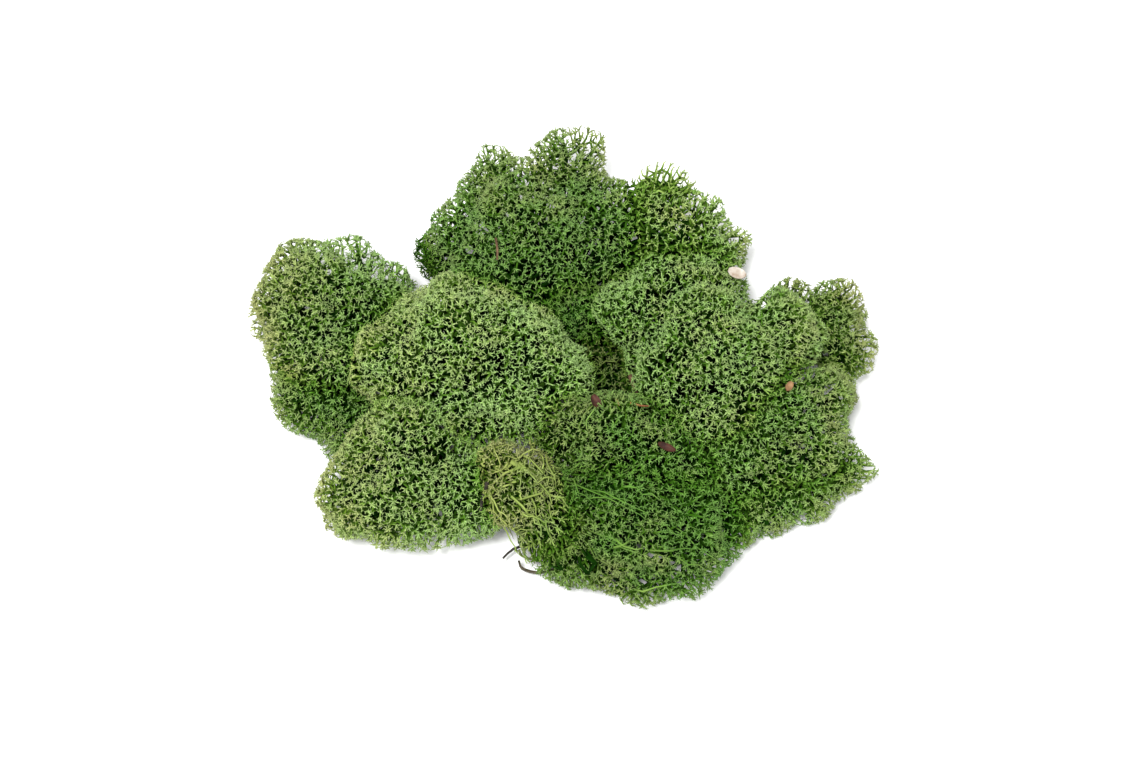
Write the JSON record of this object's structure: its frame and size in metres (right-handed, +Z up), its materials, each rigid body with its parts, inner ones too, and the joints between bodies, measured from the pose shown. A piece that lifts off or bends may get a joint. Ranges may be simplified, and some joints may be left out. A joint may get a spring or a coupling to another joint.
{
  "type": "moss clump",
  "caption": "Loose heap of preserved green reindeer lichen tufts with domed, finely branched heads and bits of forest litter, resting on a flat surface.",
  "frame": {"origin": "middle of the heap's outline, on the surface it rests on", "axes": "+Z up, +Y to the back of the heap, +X to the right, along its longest side"},
  "size_m": [0.1762, 0.1378, 0.0477],
  "materials": {
    "moss_pale": "matt, dry, fibrous",
    "moss_green": "matt, dry, fibrous",
    "moss_deep": "matt, dry, fibrous",
    "moss_olive": "matt, dry, fibrous",
    "moss_bare": "matt, dry stems",
    "twig_dark": "rough, almost black",
    "twig_brown": "rough",
    "bark": "rough, curled",
    "needle": "satin",
    "leaf_brown": "matt, brittle",
    "leaf_tan": "matt, brittle",
    "chip_pale": "matt"
  },
  "bodies": {
    "root": {"moss_tuft_centre_left": "moss_pale", "moss_tuft_centre_right": "moss_pale", "moss_tuft_bare_base": "moss_bare", "moss_tuft_middle": "moss_green", "moss_tuft_left_back": "moss_green", "moss_tuft_back": "moss_deep", "moss_tuft_front": "moss_deep", "moss_tuft_back_right": "moss_green", "moss_tuft_front_left": "moss_green", "moss_tuft_right": "moss_green", "moss_tuft_hollow": "moss_deep", "moss_tuft_right_back": "moss_green", "moss_tuft_left_front": "moss_green", "moss_tuft_right_front": "moss_green", "moss_tuft_pit": "moss_olive", "moss_sprig_back_right": "moss_green", "moss_sprig_back_left": "moss_deep", "twig_dark_front": "twig_dark", "bark_strap": "bark", "stem_curl_front": "moss_olive", "stem_dark_left": "twig_dark", "leaf_flake_brown": "leaf_brown", "needle_long": "needle", "needle_short": "needle", "twig_brown_middle": "twig_brown", "leaf_bit_red": "leaf_brown", "leaf_flake_tan": "leaf_tan", "stem_thin_back": "twig_brown", "pale_chip": "chip_pale"}
  },
  "joints": []
}
